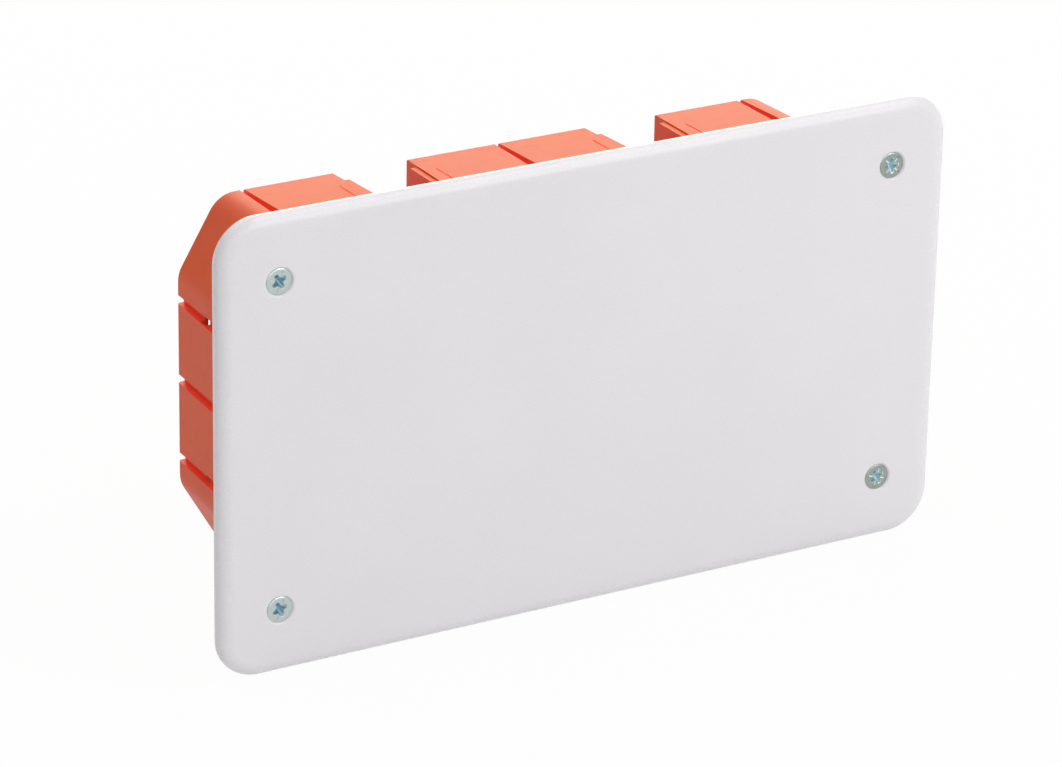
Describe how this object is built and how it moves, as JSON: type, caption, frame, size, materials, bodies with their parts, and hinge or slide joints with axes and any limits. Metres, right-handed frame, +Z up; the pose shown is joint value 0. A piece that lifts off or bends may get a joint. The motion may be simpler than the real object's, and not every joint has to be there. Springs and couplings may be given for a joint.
{
  "type": "flush junction box",
  "caption": "Rectangular flush junction box: orange tub with conduit channels and a white cover on corner screws.",
  "frame": {"origin": "centre of the tub's back face", "axes": "+X to the right seen from the front, +Z up, and the cover faces -Y"},
  "size_m": [0.1844, 0.045, 0.1074],
  "materials": {
    "orange_plastic": "moulded, satin",
    "white_plastic": "moulded, fine satin",
    "zinc_steel": "bright zinc"
  },
  "bodies": {
    "tub": {"box_body": "orange_plastic"},
    "lid": {"cover": "white_plastic"},
    "screw_top_left": {"cover_screw_top_left": "zinc_steel"},
    "screw_top_right": {"cover_screw_top_right": "zinc_steel"},
    "screw_bottom_left": {"cover_screw_bottom_left": "zinc_steel"},
    "screw_bottom_right": {"cover_screw_bottom_right": "zinc_steel"}
  },
  "joints": [
    {"name": "cover_lift", "type": "slide", "parent": "tub", "child": "lid", "axis": [0, -1, 0], "range_m": [0, 0.08]},
    {"name": "screw_out_top_left", "type": "slide", "parent": "lid", "child": "screw_top_left", "axis": [0, -1, 0], "range_m": [0, 0.016]},
    {"name": "screw_out_top_right", "type": "slide", "parent": "lid", "child": "screw_top_right", "axis": [0, -1, 0], "range_m": [0, 0.016]},
    {"name": "screw_out_bottom_left", "type": "slide", "parent": "lid", "child": "screw_bottom_left", "axis": [0, -1, 0], "range_m": [0, 0.016]},
    {"name": "screw_out_bottom_right", "type": "slide", "parent": "lid", "child": "screw_bottom_right", "axis": [0, -1, 0], "range_m": [0, 0.016]}
  ]
}
